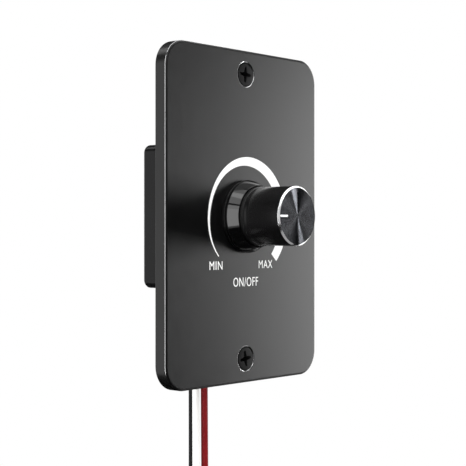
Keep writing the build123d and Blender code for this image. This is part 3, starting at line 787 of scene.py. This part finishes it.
def spun_grooves():
    """The profile of the spun face: shallow grooves from the middle to the rim."""
    count = points_per_groove * int(spun_rim / spun_pitch)
    swing = spun_slope * spun_pitch / (2 * pi)
    grooves = []
    for number in range(count):
        phase = 2 * pi * number / points_per_groove
        grooves.append((spun_rim * number / count, knob_front + swing * (cos(phase) - 1)))
    return grooves


def make_knob():
    """The turned knob with its spun face, its bare cut edge and the pointer's groove."""
    bm = spun(
        spun_grooves() + [
            (spun_rim, knob_front),
            (knob_face_radius, knob_front),
            (knob_radius, knob_edge_back, knob_edge_round),
            (knob_radius, knob_taper_front, knob_step_round),
            (knob_foot_radius, knob_foot_front, knob_step_round),
            (knob_foot_radius, knob_rear, knob_rear_round),
            (knob_cavity_radius, knob_rear),
            (knob_cavity_radius, knob_cavity_front),
            (0, knob_cavity_front),
        ],
        steps=160,
    )
    groove_size = (pointer_length, 2 * pointer_groove_depth, pointer_width)
    groove_round = pointer_width / 2 - pointer_end_gap
    bm = cut(bm, [block(groove_size, (pointer_middle, -knob_front, 0), groove_round, segments=8)])
    for face in bm.faces:
        middle = face.calc_center_median()
        radius = Vector((middle.x, middle.z)).length
        height = -middle.y
        if radius > knob_face_radius + knob_face_slack and height > knob_edge_back - knob_edge_slack:
            face.material_index = 2
        elif radius < knob_face_radius + knob_face_slack and height > knob_front - knob_face_depth:
            face.material_index = 1
    knob = finish_piece(
        bm, "dressed_knob", "knob_assembly", ["knob_black", "knob_face", "bare_edge"], ["knob"]
    )
    even_shading(knob)
    return knob


# Push switch's spring

def make_spring():
    """A coil of round wire at its full length; the real spring shortens towards its seat as the knob is
    pushed.
    """
    bm = bmesh.new()
    ring = bmesh.ops.create_circle(bm, segments=10, radius=spring_wire / 2)["verts"]
    bmesh.ops.translate(bm, vec=(spring_radius, spring_front + spring_wire / 2, 0), verts=ring)
    rise = spring_rear - spring_front - spring_wire
    section = bm.verts[:] + bm.edges[:]
    sweep(bm, section, (0, 1, 0), rise, spring_turns, spring_steps * spring_turns)
    close_ends(bm)
    spring = finish_piece(bm, "coil_spring", "base", ["steel"], ["switch_spring"], smooth=50.0)
    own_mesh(spring)


# Printed words on the plate

def printed_word(name, body, centre, width, cap):
    """A word in thin white print, fitted to its width and to the height of its capitals."""
    text = bpy.data.curves.new(name, "FONT")
    text.body = body
    text.offset = -0.001
    text.space_character = 1.1
    text.extrude = 0.02
    raised = bpy.data.objects.new(name, text)
    scene.collection.objects.link(raised)
    mesh = baked_mesh(raised)
    bpy.data.objects.remove(raised)
    bm = bmesh.new()
    bm.from_mesh(mesh)
    bpy.data.meshes.remove(mesh)
    bmesh.ops.remove_doubles(bm, verts=bm.verts, dist=letter_merge_gap)
    low = Vector(min(vert.co[axis] for vert in bm.verts) for axis in range(3))
    high = Vector(max(vert.co[axis] for vert in bm.verts) for axis in range(3))
    size = high - low
    bmesh.ops.translate(bm, vec=-(low + high) / 2, verts=bm.verts)
    bmesh.ops.scale(bm, vec=(width / size.x, cap / size.y, print_thickness / size.z), verts=bm.verts)
    bmesh.ops.rotate(bm, cent=(0, 0, 0), matrix=Matrix.Rotation(pi / 2, 3, "X"), verts=bm.verts)
    place = (centre[0], -plate_front - print_thickness / 2, centre[1])
    bmesh.ops.translate(bm, vec=place, verts=bm.verts)
    finish_piece(bm, name, "base", ["print_white"])


plate = make_face_plate()
make_box_screws()
collar = make_collar()
knob = make_knob()
make_spring()
for name, (body, centre, width, cap) in words.items():
    printed_word(name, body, centre, width, cap)


# Camera, at the photograph's viewing angle

camera_data = bpy.data.cameras.new("camera")
camera_data.lens = 93.24
camera_data.sensor_width = 36.0
camera_data.clip_start = 0.01
camera_data.clip_end = 100.0
camera = bpy.data.objects.new("camera", camera_data)
camera.location = (-0.26923, -0.23373, -0.00481)
camera.rotation_euler = (radians(90.0), 0.0, radians(-48.93))
scene.collection.objects.link(camera)
scene.camera = camera


# Lamps

def linked(name, piece, state="INCLUDE"):
    """A light linking collection: its lamps light that piece alone, or all but that piece."""
    group = bpy.data.collections.new(name)
    group.objects.link(piece)
    group.collection_objects[0].light_linking.link_state = state
    return group


def softbox(name, place, width, height, watts, upright=(0, 0, 1), only=None):
    """A soft lamp that faces the object, its height along upright, for all pieces or only for some."""
    lamp = bpy.data.lights.new(name, "AREA")
    lamp.shape = "RECTANGLE"
    lamp.size = width
    lamp.size_y = height
    lamp.energy = watts
    away = Vector(place).normalized()
    across = Vector(upright).cross(away).normalized()
    box = bpy.data.objects.new(name, lamp)
    box.location = place
    box.rotation_euler = Matrix((across, away.cross(across), away)).transposed().to_euler()
    box.visible_camera = False
    box.light_linking.receiver_collection = only
    scene.collection.objects.link(box)


knob_only = linked("knob_only", knob)
plate_only = linked("plate_only", plate)
collar_only = linked("collar_only", collar)
all_but_knob = linked("all_but_knob", knob, "EXCLUDE")

# The studio's main lamps
softbox("right_softbox", (1.766, -0.939, -0.07), 0.42, 0.95, 12.0, only=all_but_knob)
softbox("left_softbox", (-0.5, -0.065, 0.02), 0.27, 0.6, 1.85)
softbox("top_softbox", (0.055, -0.05, 0.52), 0.81, 0.8, 4.0, upright=(0, 1, 0))
softbox("corner_softbox", (-0.17, 0.45, 0.52), 0.34, 0.2, 0.45, upright=(0, 1, 0))
softbox("front_softbox", (-0.111, -0.523, 0.272), 0.34, 0.24, 0.42, only=all_but_knob)
softbox("rear_softbox", (0.75, 0.75, -0.05), 0.5, 0.8, 5.0, only=all_but_knob)

# Cards that the plate's edges and the collar mirror
softbox("upper_card", (-0.28, -0.08, 0.466), 0.2, 0.42, 0.7, upright=(1, 0, 0), only=collar_only)
softbox("under_card", (0.452, 0.0, -0.394), 0.36, 0.36, 0.055, only=all_but_knob)
softbox("over_card", (0.452, 0.0, 0.394), 0.3, 0.3, 0.028, only=all_but_knob)
softbox("low_edge_card", (0.45, -0.26, -0.34), 0.24, 0.24, 0.13, only=all_but_knob)
softbox("high_edge_card", (0.45, -0.26, 0.34), 0.24, 0.24, 0.08, only=all_but_knob)
softbox("edge_card", (-0.4156, -0.4137, 0.03), 0.16, 0.78, 1.0, only=plate_only)
softbox("corner_card", (-0.22, -0.396, 0.394), 0.12, 0.3, 0.1, upright=(0.694, 0.268, 0.668))

# Lamps and cards that the knob's face, side and edge mirror
face_strip_upright = (-0.386, 0.341, 0.857)
low_card_upright = (0.872, 0.464, -0.153)
softbox("knob_softbox", (1.786, -0.9, 0.05), 0.35, 0.5, 4.3, only=knob_only)
softbox("face_strip", (0.331, -0.297, 0.258), 0.1, 0.16, 1.42, face_strip_upright, knob_only)
softbox("ring_card", (-0.294, -0.4045, 0.15), 0.26, 0.8, 0.45, only=knob_only)
softbox("ring_side_card", (0.474, 0.16, 0.0), 0.2, 0.9, 0.85, only=knob_only)
softbox("ring_top_card", (0.43, 0.0, 0.38), 0.16, 0.16, 0.16, only=knob_only)
softbox("low_card", (0.033, -0.15, -0.257), 0.12, 0.35, 0.05, low_card_upright, knob_only)


# Black flags: a dark shell that only reflections see, open where the white studio shows

def open_window(face):
    """Whether the studio's white shows past the flags in that direction."""
    way = face.calc_center_median().normalized()
    turn = degrees(atan2(way.x, -way.y))
    rise = degrees(asin(way.z))
    return any(left < turn < right and low < rise < high for left, right, low, high in flag_windows)


def make_flags():
    """The shell of flags, left out of all but glossy rays."""
    bm = bmesh.new()
    bmesh.ops.create_uvsphere(bm, u_segments=90, v_segments=45, radius=flag_distance)
    bmesh.ops.delete(bm, geom=[face for face in bm.faces if open_window(face)], context="FACES")
    grained("flag_cloth", (0.002, 0.002, 0.002), 1.0, 300.0, 0.0, specular=0.0)
    flags = mesh_object(bm, "black_flags")
    flags.data.materials.append(finishes["flag_cloth"])
    flags.visible_camera = False
    flags.visible_diffuse = False
    flags.visible_shadow = False
    flags.visible_transmission = False


def make_world():
    """A white studio, a little dimmer as fill light than it looks."""
    world = bpy.data.worlds.new("studio")
    world.use_nodes = True
    scene.world = world
    sky = world.node_tree
    background = sky.nodes["Background"]
    background.inputs["Color"].default_value = (1.0, 1.0, 1.0, 1.0)
    level = sky.nodes.new("ShaderNodeMapRange")
    level.inputs["To Min"].default_value = fill_strength
    level.inputs["To Max"].default_value = 1.0
    sky.links.new(directly_seen(sky), level.inputs["Value"])
    sky.links.new(level.outputs[0], background.inputs["Strength"])


def make_floor():
    """A floor that is pale and plain near the object and white far away."""
    bm = bmesh.new()
    bmesh.ops.create_grid(bm, x_segments=1, y_segments=1, size=floor_reach)
    bmesh.ops.translate(bm, vec=(0, 0, floor_level), verts=bm.verts)
    paper = Finish("floor_paper", (0.86, 0.86, 0.86), 0.8)
    tree = paper.tree
    place = tree.nodes.new("ShaderNodeTexCoord")
    reach = tree.nodes.new("ShaderNodeVectorMath")
    reach.operation = "LENGTH"
    fade = tree.nodes.new("ShaderNodeMapRange")
    fade.inputs["From Min"].default_value = floor_fade[0]
    fade.inputs["From Max"].default_value = floor_fade[1]
    glow = tree.nodes.new("ShaderNodeEmission")
    mix = tree.nodes.new("ShaderNodeMixShader")
    tree.links.new(place.outputs["Object"], reach.inputs[0])
    tree.links.new(reach.outputs["Value"], fade.inputs["Value"])
    tree.links.new(math_node(tree, "MULTIPLY", fade.outputs[0], directly_seen(tree)), mix.inputs[0])
    tree.links.new(paper.shader.outputs[0], mix.inputs[1])
    tree.links.new(glow.outputs[0], mix.inputs[2])
    tree.links.new(mix.outputs[0], tree.nodes["Material Output"].inputs["Surface"])
    floor = mesh_object(bm, "floor")
    floor.data.materials.append(paper.material)
    floor.visible_glossy = False


make_flags()
make_world()
make_floor()

scene.view_settings.view_transform = "Standard"

bpy.context.view_layer.update()
